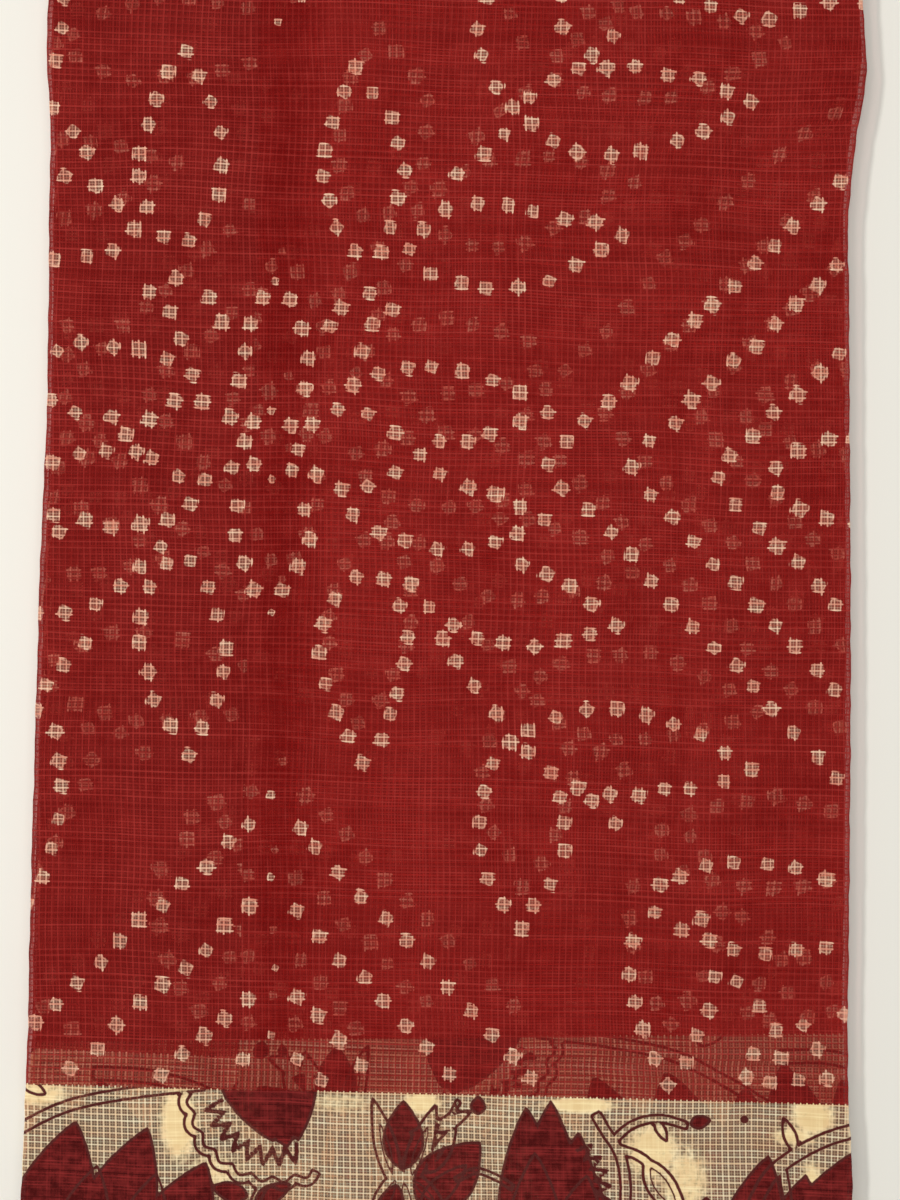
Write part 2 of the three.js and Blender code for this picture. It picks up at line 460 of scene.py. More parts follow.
# One repeat of a lotus and vine border. Headings are in degrees from up, towards larger s. curl is how
# far the tip leans, as a share of the length.
Petal = namedtuple("Petal", "s up heading length width curl", defaults=[0.0])
FILLED_PETALS = [
    Petal(-0.250, -0.012, 3, 0.100, 0.052, 0.14),  # open lotus
    Petal(-0.212, -0.012, 4, 0.098, 0.048, 0.20),
    Petal(-0.176, -0.012, 6, 0.078, 0.046, 0.24),
    Petal(-0.284, -0.012, -20, 0.080, 0.040, 0.10),
    Petal(-0.127, 0.148, 164, 0.073, 0.044),  # hanging flower
    Petal(-0.116, 0.152, 167, 0.080, 0.048),
    Petal(-0.098, 0.141, 174, 0.063, 0.030),
    Petal(-0.123, 0.043, -76, 0.023, 0.012),
    Petal(-0.118, 0.039, 62, 0.025, 0.012),
    Petal(-0.025, 0.062, 0, 0.043, 0.025),  # two buds
    Petal(-0.029, 0.052, 196, 0.046, 0.018),
    Petal(-0.014, 0.038, 38, 0.056, 0.036, 0.06),
    Petal(0.022, 0.098, 0, 0.011, 0.009),
    Petal(0.060, -0.012, -5, 0.115, 0.042, 0.02),  # half open lotus
    Petal(0.066, -0.012, 1, 0.119, 0.042),
    Petal(0.078, -0.012, 2, 0.100, 0.038, 0.04),
    Petal(0.086, -0.012, 8, 0.074, 0.026),
    Petal(0.156, 0.095, 75, 0.013, 0.008),  # bud on the branch
    Petal(0.190, 0.097, 0, 0.004, 0.004),
    Petal(0.166, 0.012, -30, 0.032, 0.022),  # low flower
    Petal(0.166, 0.012, 0, 0.037, 0.024),
    Petal(0.166, 0.012, 30, 0.032, 0.022),
    Petal(0.190, -0.012, 4, 0.089, 0.040, 0.10),  # ragged flower
    Petal(0.214, -0.012, 8, 0.078, 0.036, 0.05),
    Petal(0.232, -0.012, 8, 0.096, 0.052, 0.16),  # wide lotus at the crease
    Petal(0.282, -0.012, 2, 0.104, 0.050, 0.10),
    Petal(0.318, -0.012, -4, 0.088, 0.044, 0.10),
]
FRONT_PETALS = [
    Petal(-0.230, -0.012, 2, 0.072, 0.034, 0.14),
    Petal(-0.192, -0.012, 2, 0.068, 0.032, 0.14),
    Petal(-0.014, 0.038, 46, 0.040, 0.014),
    Petal(0.058, -0.012, 0, 0.086, 0.034),
    Petal(0.078, -0.012, 10, 0.074, 0.034),
    Petal(0.196, -0.012, 4, 0.060, 0.028, 0.10),
    Petal(0.258, -0.012, 4, 0.074, 0.036, 0.12),
    Petal(0.302, -0.012, 0, 0.070, 0.034, 0.05),
]
DRAWN_PETALS = [
    Petal(-0.030, 0.050, -12, 0.058, 0.014, -0.04),
    Petal(-0.022, 0.050, 15, 0.056, 0.015, 0.06),
    Petal(-0.026, 0.062, 170, 0.054, 0.015, 0.05),
    Petal(-0.026, 0.062, 208, 0.052, 0.015, -0.05),
    Petal(-0.024, 0.060, 134, 0.038, 0.013),
    Petal(-0.010, 0.060, 36, 0.036, 0.011, -0.10),
    Petal(-0.004, 0.086, 52, 0.026, 0.008, 0.10),
    Petal(0.134, 0.097, 152, 0.015, 0.006),
    Petal(0.128, 0.072, 152, 0.046, 0.018, -0.10),
    Petal(0.222, 0.080, -20, 0.022, 0.008),
    Petal(-0.250, 0.104, -64, 0.022, 0.007),
]
# A drawn stem is two lines at this half distance from its middle.
Stem = namedtuple("Stem", "half points")
DRAWN_STEMS = [
    Stem(0.0034, [
        (-0.300, 0.060), (-0.272, 0.078), (-0.238, 0.096), (-0.196, 0.106), (-0.150, 0.1125),
    ]),
    Stem(0.0028, [(-0.114, 0.048), (-0.118, 0.040), (-0.117, 0.026), (-0.122, 0.000)]),
    Stem(0.0016, [(-0.020, 0.084), (-0.006, 0.091), (0.004, 0.096), (0.010, 0.106)]),
    Stem(0.0018, [(0.008, 0.056), (0.020, 0.062), (0.034, 0.058), (0.044, 0.052)]),
    Stem(0.0032, [
        (0.096, 0.100), (0.102, 0.090), (0.111, 0.076), (0.115, 0.056), (0.114, 0.034), (0.118, 0.0),
    ]),
    Stem(0.0024, [(0.106, 0.082), (0.120, 0.094), (0.136, 0.098), (0.154, 0.094)]),
    Stem(0.0028, [(0.108, 0.079), (0.125, 0.073), (0.139, 0.056), (0.142, 0.036), (0.136, 0.010)]),
    Stem(0.0042, [
        (0.196, 0.046), (0.207, 0.065), (0.223, 0.078), (0.242, 0.088), (0.266, 0.095), (0.300, 0.096),
    ]),
    Stem(0.0026, [(0.214, 0.068), (0.217, 0.046), (0.214, 0.020)]),
]
# A frill is drawn along part of a circle, from one heading to another, in teeth or in round scallops.
Frill = namedtuple("Frill", "half s up radius depth count start end pointed")
FRONT_FRILLS = [
    Frill(0.0005, -0.105, 0.108, 0.0340, 0.012, 8, 158, 262, True),
    Frill(0.0004, 0.062, 0.050, 0.0340, 0.010, 8, 40, 140, True),
]
DRAWN_FRILLS = [
    Frill(0.0026, -0.105, 0.108, 0.0550, 0.004, 8, 153, 270, False),
]

# Places where the cream fills the weave: how far each reaches along s and up, and how closely it fills.
Pale = namedtuple("Pale", "s up along across share")
PALES = [
    Pale(-0.253, 0.104, 0.017, 0.008, 0.75),
    Pale(-0.166, 0.088, 0.011, 0.022, 1.00),
    Pale(-0.143, 0.058, 0.018, 0.012, 0.60),
    Pale(-0.065, 0.103, 0.026, 0.007, 0.50),
    Pale(-0.013, 0.104, 0.011, 0.007, 1.00),
    Pale(0.087, 0.105, 0.021, 0.005, 1.00),
    Pale(0.132, 0.077, 0.017, 0.018, 0.85),
    Pale(0.152, 0.058, 0.016, 0.024, 0.70),
    Pale(0.233, 0.102, 0.013, 0.012, 1.00),
    Pale(0.222, 0.089, 0.014, 0.006, 0.80),
    Pale(0.232, 0.055, 0.007, 0.018, 0.90),
]


def petal_shape(petal, count=20):
    """The outline of a pointed petal, from its base up one side and down the other."""
    u = np.linspace(0, 1, count)
    half = petal.width / 2 * pointed_width(u)
    bend = petal.curl * petal.length * u * u
    side = np.column_stack([bend + half, u * petal.length])
    back = np.column_stack([bend - half, u * petal.length])[::-1]
    a = math.radians(petal.heading)
    turn = np.array([[math.cos(a), -math.sin(a)], [math.sin(a), math.cos(a)]])
    return np.vstack([side, back[1:-1]]) @ turn + (petal.s, petal.up)


def ribbon_shape(middle, half):
    """The outline of a band along a line of points."""
    slope = np.gradient(middle, axis=0)
    across = np.column_stack([-slope[:, 1], slope[:, 0]]) / np.hypot(*slope.T)[:, None]
    return np.vstack([middle + across * half, (middle - across * half)[::-1]])


def stem_shape(stem, count=26):
    line = np.asarray(stem.points, float)
    steps = np.concatenate([[0], np.cumsum(np.hypot(*np.diff(line, axis=0).T))])
    at = np.linspace(0, steps[-1], count)
    middle = np.column_stack([smooth_curve(steps, values, at) for values in line.T])
    return ribbon_shape(middle, stem.half)


def frill_shape(frill, steps=8):
    a = np.radians(np.linspace(frill.start, frill.end, steps * frill.count + 1))
    phase = np.linspace(0, frill.count, len(a)) % 1.0
    wave = 1 - np.abs(2 * phase - 1) if frill.pointed else np.sin(math.pi * phase)
    reach = frill.radius + frill.depth * wave
    middle = np.column_stack([frill.s + reach * np.sin(a), frill.up + reach * np.cos(a)])
    return ribbon_shape(middle, frill.half)


def border_shapes():
    """Closed shapes of one repeat: filled with red, outlined on the fill, outlined on the ground."""
    filled = [petal_shape(petal) for petal in FILLED_PETALS]
    front = [petal_shape(petal) for petal in FRONT_PETALS]
    front += [frill_shape(frill) for frill in FRONT_FRILLS]
    drawn = [petal_shape(petal) for petal in DRAWN_PETALS]
    drawn += [frill_shape(frill) for frill in DRAWN_FRILLS]
    drawn += [stem_shape(stem) for stem in DRAWN_STEMS]
    return filled, front, drawn


def signed_distance(points, shapes):
    """Distance to the nearest edge of the shapes' union, negative inside, for points of one repeat."""
    total = np.full(len(points), FAR)
    for shape in shapes:
        low, high = shape.min(0) - FAR, shape.max(0) + FAR
        near = np.where(np.all((points > low) & (points < high), axis=1))[0]
        if not len(near):
            continue
        x, y = points[near].T
        best = np.full(len(near), FAR)
        inside = np.zeros(len(near), bool)
        for (ax, ay), (bx, by) in zip(shape, np.roll(shape, -1, axis=0)):
            dx, dy = bx - ax, by - ay
            share = np.clip(((x - ax) * dx + (y - ay) * dy) / (dx * dx + dy * dy), 0, 1)
            best = np.minimum(best, np.hypot(x - ax - share * dx, y - ay - share * dy))
            if ay != by:
                crosses = (ay > y) != (by > y)
                inside ^= crosses & (x < ax + (y - ay) * dx / dy)
        total[near] = np.minimum(total[near], np.where(inside, -best, best))
    return total


def border_print(s, up):
    """Signed distances, in millimetres, to the filled, front and drawn shapes of both borders."""
    from_selvedge = np.minimum(up, CLOTH_WIDTH - up)
    place = np.where(up > CLOTH_WIDTH / 2, s + UPPER_SHIFT, s)
    around = np.column_stack([(place - BORDER_START) % BORDER_REPEAT + BORDER_START, from_selvedge])
    near = from_selvedge < BORDER + FAR
    fields = []
    for shapes in border_shapes():
        beside = [shape + (side * BORDER_REPEAT, 0) for shape in shapes for side in (-1, 1)]
        field = np.full(len(s), FAR)
        field[near] = signed_distance(around[near], shapes + beside)
        fields.append(field * 1000)
    return fields


def cream_fill(s, up):
    """How closely the cream fills the weave."""
    share = np.zeros(len(s))
    for pale in PALES:
        reach = np.hypot((s - pale.s) / pale.along, (up - pale.up) / pale.across)
        share = np.maximum(share, pale.share * np.clip(1.5 - reach, 0, 1))  # all of it up to 0.5
    return share


# The red's unevenness: clouds, and streaks that are drawn out along up.
Uneven = namedtuple("Uneven", "size strength seed drawn_out")
DYE_UNEVEN = [Uneven(0.090, 0.16, 21, 1.00), Uneven(0.030, 0.14, 22, 0.04)]
DYE_MIDDLE = 0.35

# The line where the cloth was folded to be tied: how dark it is, at a distance along s.
FOLD_LINE = [(-0.0095, 0.0), (-0.0065, 0.85), (0.012, 0.70), (0.034, 0.0)]


def dye_depth(s, up):
    """How dark the body is dyed, 0 to 1."""
    depth = np.full_like(s, DYE_MIDDLE)
    for part in DYE_UNEVEN:
        depth += part.strength * soft_noise(s, up * part.drawn_out, part.size, part.seed)
    from_line = (s - AXIS + REPEAT[0] / 2) % REPEAT[0] - REPEAT[0] / 2
    return np.clip(depth + np.interp(from_line, *zip(*FOLD_LINE)), 0, 1)


# ---------- the cloth's mesh

Run = namedtuple("Run", "turn index")  # a turned crease, or the run of a layer
TURN_STEPS = 8  # flats in one turned crease


def runs_between(first, last):
    """The route from layer first to layer last, with the creases between them."""
    runs = [Run(False, first)]
    for layer in range(first + 1, last + 1):
        runs += [Run(True, layer - 1), Run(False, layer)]
    return runs


def run_length(run):
    if run.turn:
        return TURN_ARC
    return TUCK_LENGTH if run.index > TOP else LAYER_RUN


def shares_along(run, step):
    """Shares along a run, an even number of steps so that every other one serves the body."""
    count = TURN_STEPS if run.turn else 2 * max(2, round(run_length(run) / step / 2))
    return np.linspace(0, 1, count + 1)


def print_drift(run, along):
    """How far the print has drifted at a share of a run. The creases have it in place."""
    if run.turn:
        return 0.0
    drift = DRIFTS.get(run.index, DEEP_DRIFT)
    goes_right = run.index % 2 == 0
    share = along if goes_right else 1 - along
    return drift.left + (drift.right - drift.left) * share


def cloth_grid(route, ups, step):
    """x, y, z, s, the print's up, and 1 on the creases.

    Each is a table with a row for each up and a column for each place on the route.
    """
    pile = Pile(ups)
    columns = []
    for number, run in enumerate(route):
        point_at = pile.turn_point if run.turn else pile.layer_point
        for along in shares_along(run, step)[0 if number == 0 else 1:]:
            x, height, slip, s = point_at(run.index, along)
            y = ups + slip
            level = (height - THICKNESS / 2) / PITCH
            z = height * height_factor(x, y) + ripple(x, y, level)
            creased = np.full_like(ups, run.turn, dtype=float)
            columns.append((x, y - CLOTH_WIDTH / 2, z, s, ups + print_drift(run, along), creased))
    return [np.array(rows).T for rows in zip(*columns)]


def quads_of(index):
    corners = [index[:-1, :-1], index[:-1, 1:], index[1:, 1:], index[1:, :-1]]
    return np.stack(corners, axis=-1).reshape(-1, 4).tolist()


def seam_of(fine, coarse):
    """Faces between a row of the border and one of the body, each along two steps of the fine row."""
    return [
        [fine[2 * j], fine[2 * j + 1], fine[2 * j + 2], coarse[j + 1], coarse[j]]
        for j in range(len(coarse) - 1)
    ]


def cloth_mesh(piece):
    """The mesh of one piece, and the flat cloth's coordinates of its points.

    Faces of the plain body take the first material, and those of the border the second.
    """
    low = np.linspace(0, piece.border, round(piece.border / piece.step) + 1)
    high = CLOTH_WIDTH - low[::-1]
    body_rows = round((CLOTH_WIDTH - 2 * piece.border) / piece.body_step)
    middle = np.linspace(piece.border, CLOTH_WIDTH - piece.border, body_rows + 1)[1:-1]
    points, flats, indices = [], [], []
    count = 0
    for ups, every in ((low, 1), (middle, 2), (high, 1)):
        grid = cloth_grid(piece.route, ups, piece.step)
        x, y, z, s, print_up, creased = (values[:, ::every] for values in grid)
        up = np.repeat(ups, x.shape[1])
        points.append(np.column_stack([x.ravel(), y.ravel(), z.ravel()]))
        flats.append(np.column_stack([s.ravel(), print_up.ravel(), up, creased.ravel()]))
        indices.append(count + np.arange(x.size).reshape(x.shape))
        count += x.size
    lower, body, upper = indices
    seams = seam_of(lower[-1], body[0]) + [face[::-1] for face in seam_of(upper[0], body[-1])]
    groups = [(quads_of(lower), 1), (quads_of(body), 0), (quads_of(upper), 1), (seams, 0)]
    mesh = bpy.data.meshes.new(piece.name)
    mesh.from_pydata(np.vstack(points).tolist(), [], [face for group, _ in groups for face in group])
    mesh.polygons.foreach_set("material_index", [kind for group, kind in groups for _ in group])
    mesh.polygons.foreach_set("use_smooth", np.ones(len(mesh.polygons), bool))
    return mesh, np.vstack(flats)


def store_on_points(mesh, name, values):
    """One number for each point of the mesh, or the four of a colour."""
    kind, field = ("FLOAT", "value") if values.ndim == 1 else ("FLOAT_COLOR", "color")
    stored = mesh.attributes.new(name, kind, "POINT")
    stored.data.foreach_set(field, values.astype(np.float32).ravel())


def store_on_corners(mesh, name, places):
    stored = mesh.uv_layers.new(name=name)
    stored.data.foreach_set("uv", places.astype(np.float32).ravel())


def around_dots(mesh, corners, dots):
    """Where each face corner lies from the dot nearest to its face, in halves of the dot's size."""
    sizes = [face.loop_total for face in mesh.polygons]
    face_of = np.repeat(np.arange(len(sizes)), sizes)
    middles = [np.bincount(face_of, values) / sizes for values in corners.T]
    nearest = np.array([dots.tree.find((s, up, 0))[1] for s, up in zip(*middles)])[face_of]
    s, up = (corners - dots.centres[nearest]).T
    c, d = np.cos(dots.turns[nearest]), np.sin(dots.turns[nearest])
    return np.column_stack([c * s + d * up, c * up - d * s]) / dots.halves[nearest, None]


def store_print(mesh, flats, dots):
    """The flat cloth's coordinates, the border's shapes, the dye, and each face's nearest dot."""
    s, print_up, up, creased = flats.T
    corner = np.empty(len(mesh.loops), np.int32)
    mesh.loops.foreach_get("vertex_index", corner)
    stray, length = YARN_STRAY
    strays = np.column_stack([stray * soft_noise(s, up, length, seed) for seed in (31, 32)])
    store_on_corners(mesh, "Cloth", (np.column_stack([s, up]) + strays)[corner])
    from_selvedge = np.minimum(print_up, CLOTH_WIDTH - print_up) * 1000
    store_on_points(mesh, "Border", np.column_stack([*border_print(s, print_up), from_selvedge]))
    store_on_points(mesh, "Cream", cream_fill(s, print_up))
    store_on_points(mesh, "Dye", dye_depth(s, print_up))
    store_on_points(mesh, "Creased", creased)
    store_on_corners(mesh, "Dots", around_dots(mesh, np.column_stack([s, print_up])[corner], dots))


# ---------- materials

class Nodes:
    """Short ways to write the nodes of a material or of the world."""

    def __init__(self, owner):
        owner.use_nodes = True
        self.tree = owner.node_tree
        self.tree.nodes.clear()

    def add(self, kind, inputs=None, **settings):
        node = self.tree.nodes.new(kind)
        for key, value in settings.items():
            setattr(node, key, value)
        for key, value in (inputs or {}).items():
            self.put(node.inputs[key], value)
        return node

    def put(self, socket, value):
        if isinstance(value, bpy.types.NodeSocket):
            self.tree.links.new(value, socket)
        else:
            socket.default_value = value

    def math(self, operation, a, b=0.0, c=0.0, clamp=False):
        node = self.add("ShaderNodeMath", {0: a, 1: b, 2: c}, operation=operation, use_clamp=clamp)
        return node.outputs[0]

    def ramp(self, value, low, high, to_low=0.0, to_high=1.0, soft=True):
        inputs = {"Value": value, "From Min": low, "From Max": high, "To Min": to_low, "To Max": to_high}
        kind = "SMOOTHSTEP" if soft else "LINEAR"
        return self.add("ShaderNodeMapRange", inputs, interpolation_type=kind).outputs["Result"]

    def mix(self, factor, a, b, kind="RGBA"):
        inputs = {"Factor": factor, "A": a, "B": b}
        return self.add("ShaderNodeMix", inputs, data_type=kind).outputs["Result"]

    def place(self, x, y):
        return self.add("ShaderNodeCombineXYZ", {"X": x, "Y": y}).outputs[0]

    def noise(self, x, y, scale=1.0, detail=0.0):
        inputs = {"Vector": self.place(x, y), "Scale": scale, "Detail": detail, "Roughness": 0.6}
        return self.add("ShaderNodeTexNoise", inputs, noise_dimensions="2D").outputs["Fac"]

    def random(self, x, y):
        inputs = {"Vector": self.place(x, y)}
        return self.add("ShaderNodeTexWhiteNoise", inputs, noise_dimensions="2D").outputs["Value"]

    def parts(self, colour):
        return list(self.add("ShaderNodeSeparateColor", {0: colour}).outputs)

    def stored(self, name, output="Fac"):
        """What the mesh stores for each point."""
        return self.add("ShaderNodeAttribute", attribute_name=name).outputs[output]

    def stored_place(self, name):
        """The two coordinates that the mesh stores for each face corner."""
        layer = self.add("ShaderNodeUVMap", uv_map=name)
        return list(self.add("ShaderNodeSeparateXYZ", {0: layer.outputs[0]}).outputs)[:2]

    def finish(self, surface, kind="ShaderNodeOutputMaterial"):
        self.add(kind, {"Surface": surface})


# Each dye from its darkest yarns to its lightest.
RED = ((0.192, 0.0058, 0.0048), (0.358, 0.0300, 0.0245))
IVORY = ((0.820, 0.2900, 0.1950), (1.000, 0.6900, 0.4850))
CREAM = ((0.950, 0.6500, 0.3850), (1.000, 0.8800, 0.6100))
FILLED_CREAM = ((0.800, 0.5700, 0.2800), (1.000, 0.8100, 0.4500))
PETAL = ((0.068, 0.0034, 0.0032), (0.250, 0.0225, 0.0210))
LINE = ((0.075, 0.0120, 0.0110), (0.120, 0.0260, 0.0220))
THROUGH_RED = (0.98, 0.70, 0.70, 1.0)  # the tint of what is seen through the gaps
# through pale yarns the tint is partly the yarns' own and partly painted shade, darkening the layers seen
# beneath
THROUGH_PALE_SHADED = (0.60, 0.46, 0.36, 1.0)
YARN_LOOK = {"Roughness": 0.85, "Specular IOR Level": 0.10}

# The weave, in shares of a check: bands of close yarns around each gap, and a lone yarn across it.
BAND_HALF = 0.035  # of the narrowest band
BAND_WIDENS = 0.06  # how much more the widest has
BAND_BLUR = 0.09
LONE_YARN = (0.42, 0.48)  # from its edge to its middle
LONE_CLOSENESS = 0.35
SHADED_YARN = (0.30, 0.05)  # two to a check, from edge to middle
SHADE_MIDDLE = 0.42
STREAKS = 75.0  # in a metre of yarn
STREAKS_APART = 3.7  # the steps in the noise between the streaks of two bands
ACROSS_SHADES = 1.4  # how much the yarns across the cloth differ
ALONG_SHADES = 4.2  # and those along it
ALONG_FIRST = 40.0  # where the random numbers of these begin
SHADES_FIRST = 9.0  # how much later those of the shades begin
TONES = (0.2, 2.2)  # from the darkest to the lightest

# How open the cloth is beside each set of its yarns, between the bands and on them. Dye closes it.
OPEN = 0.93
OPEN_ON_BAND = 0.32
BODY_CLOSING = 0.18
DOT_CLOSING = 0.55  # at most, in patches
DOT_PATCHES = 260.0  # in a metre
DOT_PATCH = (0.42, 0.62)
PETAL_CLOSING = 0.80
OUTLINE_CLOSING = 0.55
CREASE_CLOSING = 0.75

# How light the red is: the sum of these, by the yarn's tone and by the depth of the dye.
RED_BASE = 0.4
RED_BY_TONE = 0.8
RED_BY_DEPTH = -0.5

# A dot, in halves of its size.
DOT_SQUARENESS = 5.0
DOT_REACH = 0.90
DOT_BLUR = 0.08
DOT_RIM = (-0.34, -0.10)  # from here on outwards its gaps close
SPIKES = (0.38, -0.04)  # how far it runs out along a band: a random part and a fixed one

# The printed border, in millimetres.
PATCHES = 230.0  # in a metre
WOBBLE = 0.4  # how far its edges stray
FILL_EDGE = (0.35, -0.15)  # from where its red begins to where it is full
OUTLINE_BLUR = 0.35
OUTLINE_HALVES = (0.90, 0.88, 1.00, 0.55)  # of the filled, front and drawn shapes, and the inner line
INNER_LINE = 4.6  # how far inside the wide drawn shapes a second line lies
FRAY = 0.9  # how much further the border reaches on the bands
BORDER_EDGE = (-0.2, -0.9)  # the same for the whole border

# How light its petals are, by the yarn's tone and by the patches, and where its cream fills the weave.
PETAL_BASE = -0.55
PETAL_BY_TONE = 1.1
PETAL_BY_PATCH = 0.9
CREAM_FULL = (0.60, 1.40)

PAINTED_LIGHT_LIFT = 1.6  # painted light: the covered layers' colours are raised this much, standing in for the light that soaks down through sheer cloth
# The looks are lit copies of one material: the covered and close ones have every colour raised by painted
# light.
Look = namedtuple("Look", "name sheer lift")
SHEER = Look("sheer", True, 1.0)
COVERED = Look("covered", True, PAINTED_LIGHT_LIFT)
CLOSE = Look("close", False, PAINTED_LIGHT_LIFT)

Weave = namedtuple("Weave", "s up bands owns tone")


def dyed(n, dye, tone, lift):
    """A dye's colour at a tone, raised by a factor of painted light, but no more than to full brightness.
    """
    ends = [[min(lift, 1.0 / max(colour)) * channel for channel in colour] + [1.0] for colour in dye]
    return n.mix(tone, *ends)


def woven(n):
    """How close the yarns lie both ways, each band's random number, and how light the yarns are dyed."""
    s, up = n.stored_place("Cloth")
    bands, owns, tones = [], [], []
    for at, other, first, shades in ((s, up, 0.0, ACROSS_SHADES), (up, s, ALONG_FIRST, ALONG_SHADES)):
        at = n.math("DIVIDE", at, CHECK)
        number = n.math("ROUND", at)
        own = n.random(number, first)
        owns.append(own)
        away = n.math("PINGPONG", at, 0.5)
        half = n.math("MULTIPLY_ADD", own, BAND_WIDENS, BAND_HALF)
        close = n.ramp(n.math("SUBTRACT", away, half), BAND_BLUR, 0.0)
        bands.append(n.math("MAXIMUM", close, n.ramp(away, *LONE_YARN, 0.0, LONE_CLOSENESS)))
        half_checks = n.math("MULTIPLY", at, 2.0)
        line = n.ramp(n.math("PINGPONG", half_checks, 0.5), *SHADED_YARN)
        beside = n.math("MULTIPLY_ADD", number, STREAKS_APART, first)
        streak = n.noise(beside, n.math("MULTIPLY", other, STREAKS))
        shade = n.random(n.math("ROUND", half_checks), first + SHADES_FIRST)
        shade = n.math("MULTIPLY", n.math("SUBTRACT", shade, SHADE_MIDDLE), streak)
        tones.append(n.math("MULTIPLY_ADD", line, n.math("MULTIPLY", shade, shades), streak))
    tone = n.ramp(n.math("ADD", *tones), *TONES, soft=False)
    return Weave(s, up, bands, owns, tone)


def dot_mask(n, weave):
    """How far inside a dot, and how near its edge. The edge runs out a little along the close yarns."""
    aways = [n.math("ABSOLUTE", away) for away in n.stored_place("Dots")]
    powers = [n.math("POWER", away, DOT_SQUARENESS) for away in aways]
    radius = n.math("POWER", n.math("ADD", *powers), 1 / DOT_SQUARENESS)
    spikes = [
        n.math("MULTIPLY", band, n.math("MULTIPLY_ADD", own, *SPIKES))
        for band, own in zip(weave.bands, weave.owns)
    ]
    edge = n.math("ADD", n.math("MAXIMUM", *spikes), DOT_REACH)
    past_edge = n.math("SUBTRACT", radius, edge)
    return n.ramp(past_edge, DOT_BLUR, -DOT_BLUR), n.ramp(past_edge, *DOT_RIM)


def dyed_body(n, weave, lift):
    """The red body with its dots: its colour, and how far the dye closes the weave."""
    by_depth = n.math("MULTIPLY_ADD", n.stored("Dye"), RED_BY_DEPTH, RED_BASE)
    light = n.math("MULTIPLY_ADD", weave.tone, RED_BY_TONE, by_depth, clamp=True)
    dot, rim = dot_mask(n, weave)
    colour = n.mix(dot, dyed(n, RED, light, lift), dyed(n, IVORY, weave.tone, lift))
    patch = n.ramp(n.noise(weave.s, weave.up, DOT_PATCHES), *DOT_PATCH)
    closing = n.math("MULTIPLY", rim, n.math("MULTIPLY", patch, DOT_CLOSING))
    more = n.math("SUBTRACT", closing, BODY_CLOSING)
    return colour, n.math("MULTIPLY_ADD", dot, more, BODY_CLOSING)


def printed_border(n, weave, body, lift):
    """The lotus border where it lies on the cloth, and the body above it."""
    filled, front, drawn = n.parts(n.stored("Border", "Color"))
    patchy = n.noise(weave.s, weave.up, PATCHES, detail=2.0)
    wobble = n.math("MULTIPLY_ADD", patchy, 2 * WOBBLE, -WOBBLE)
    pale = n.ramp(n.stored("Cream"), 0.0, 1.0)
    ground = n.mix(pale, dyed(n, CREAM, weave.tone, lift), dyed(n, FILLED_CREAM, weave.tone, lift))
    by_patch = n.math("MULTIPLY_ADD", patchy, PETAL_BY_PATCH, PETAL_BASE)
    light = n.math("MULTIPLY_ADD", weave.tone, PETAL_BY_TONE, by_patch, clamp=True)
    fill = n.ramp(n.math("ADD", filled, wobble), *FILL_EDGE)
    colour = n.mix(fill, ground, dyed(n, PETAL, light, lift))
    in_cream = n.ramp(n.math("ADD", pale, patchy), *CREAM_FULL)
    closing = n.math("MAXIMUM", n.math("MULTIPLY", fill, PETAL_CLOSING), in_cream)
    outline = dyed(n, LINE, patchy, lift)
    inner = n.math("ADD", drawn, INNER_LINE)
    for edge, half in zip((filled, front, drawn, inner), OUTLINE_HALVES):
        away = n.math("ABSOLUTE", n.math("ADD", edge, wobble))
        line = n.ramp(away, half + OUTLINE_BLUR, half - OUTLINE_BLUR)
        colour = n.mix(line, colour, outline)
        closing = n.math("MAXIMUM", closing, n.math("MULTIPLY", line, OUTLINE_CLOSING))
    frayed = n.math("MULTIPLY_ADD", weave.bands[0], -FRAY, n.stored("Border", "Alpha"))
    in_border = n.ramp(frayed, *(BORDER * 1000 + edge for edge in BORDER_EDGE))
    body_colour, body_closing = body
    return n.mix(in_border, body_colour, colour), n.mix(in_border, body_closing, closing, "FLOAT")


def kota_doria(look, bordered):
    name = look.name + ("_border" if bordered else "_body")
    material = bpy.data.materials.new(name)
    n = Nodes(material)
    weave = woven(n)
    # the covered and close looks raise every colour by their painted light
    colour, closing = dyed_body(n, weave, look.lift)
    if bordered:
        colour, closing = printed_border(n, weave, (colour, closing), look.lift)
    surface = n.add("ShaderNodeBsdfPrincipled", {"Base Color": colour, **YARN_LOOK}).outputs[0]
    if look.sheer:
        creased = n.math("MULTIPLY", n.stored("Creased"), CREASE_CLOSING)
        left_open = n.math("SUBTRACT", 1.0, n.math("MAXIMUM", closing, creased), clamp=True)
        gaps = [n.ramp(band, 0.0, 1.0, OPEN, OPEN_ON_BAND, soft=False) for band in weave.bands]
        gap = n.math("MULTIPLY", n.math("MULTIPLY", *gaps), left_open)
        # what shows through the gaps is tinted; under pale yarns that tint is darkened with painted shade
        green = n.parts(colour)[1]
        through = n.add("ShaderNodeBsdfTransparent", {"Color": n.mix(green, THROUGH_RED, THROUGH_PALE_SHADED)})
        surface = n.add("ShaderNodeMixShader", {0: gap, 1: surface, 2: through.outputs[0]}).outputs[0]
    n.finish(surface)
    return material


# ---------- the sari

BASE_ROUTE = [Run(False, 0), Run(True, 0)]
INSIDE_ROUTE = runs_between(1, TOP - 3)
UNDER_ROUTE = [Run(True, TOP - 3), *runs_between(TOP - 2, TOP - 1)]
TOP_ROUTE = [Run(True, TOP - 1), *runs_between(TOP, TOP + 1)]

